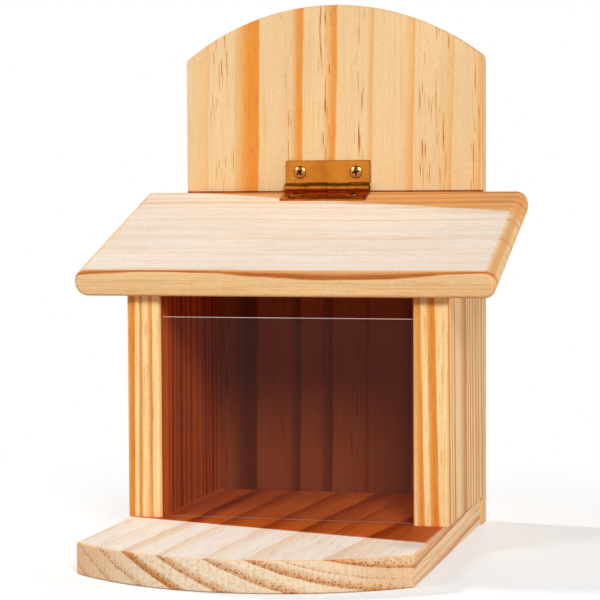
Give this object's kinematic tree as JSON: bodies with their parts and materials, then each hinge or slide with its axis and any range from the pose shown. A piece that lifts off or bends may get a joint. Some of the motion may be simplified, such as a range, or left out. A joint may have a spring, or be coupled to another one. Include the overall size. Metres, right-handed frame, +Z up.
{
  "type": "squirrel feeder box",
  "caption": "Small wooden feeder box with an arched back board, a bowed tray in front, a sloped hinged lid and a clear window that slides in grooves.",
  "frame": {"origin": "centre of the box's footprint, on the surface that it stands on", "axes": "+X to the right of someone who faces the box, +Y from the tray to the back board, +Z up"},
  "size_m": [0.182, 0.198, 0.2385],
  "materials": {
    "pine_back": "planed pine, bare",
    "pine_base": "planed pine, bare",
    "pine_sides": "planed pine, bare",
    "pine_lid": "planed pine, bare",
    "clear_sheet": "clear, polished faces, bright cut edges",
    "hinge_brass": "satin plated",
    "brass_screw": "bright plated",
    "zinc_screw": "zinc plated",
    "zinc_plate": "zinc plated"
  },
  "bodies": {
    "box": {"back_board": "pine_back", "base_board": "pine_base", "left_side_board": "pine_sides", "right_side_board": "pine_sides", "hinge_leaf_back": "hinge_brass", "hinge_pin": "hinge_brass", "hinge_screws_back": "brass_screw", "side_screws_rear": "zinc_screw", "base_screws_rear": "zinc_screw", "side_screws_below": "zinc_screw", "hanger_plate": "zinc_plate", "hanger_screws": "zinc_screw"},
    "lid": {"lid": "pine_lid", "hinge_leaf_lid": "hinge_brass", "hinge_screws_lid": "brass_screw"},
    "window": {"window": "clear_sheet"}
  },
  "joints": [
    {"name": "lid_hinge", "type": "hinge", "parent": "box", "child": "lid", "pos_m": [-0.002, 0.08565, 0.15459], "axis": [-1, 0, 0], "range_deg": [0, 110]},
    {"name": "window_slide", "type": "slide", "parent": "box", "child": "window", "axis": [0, 0, 1], "range_m": [0, 0.0115]}
  ]
}
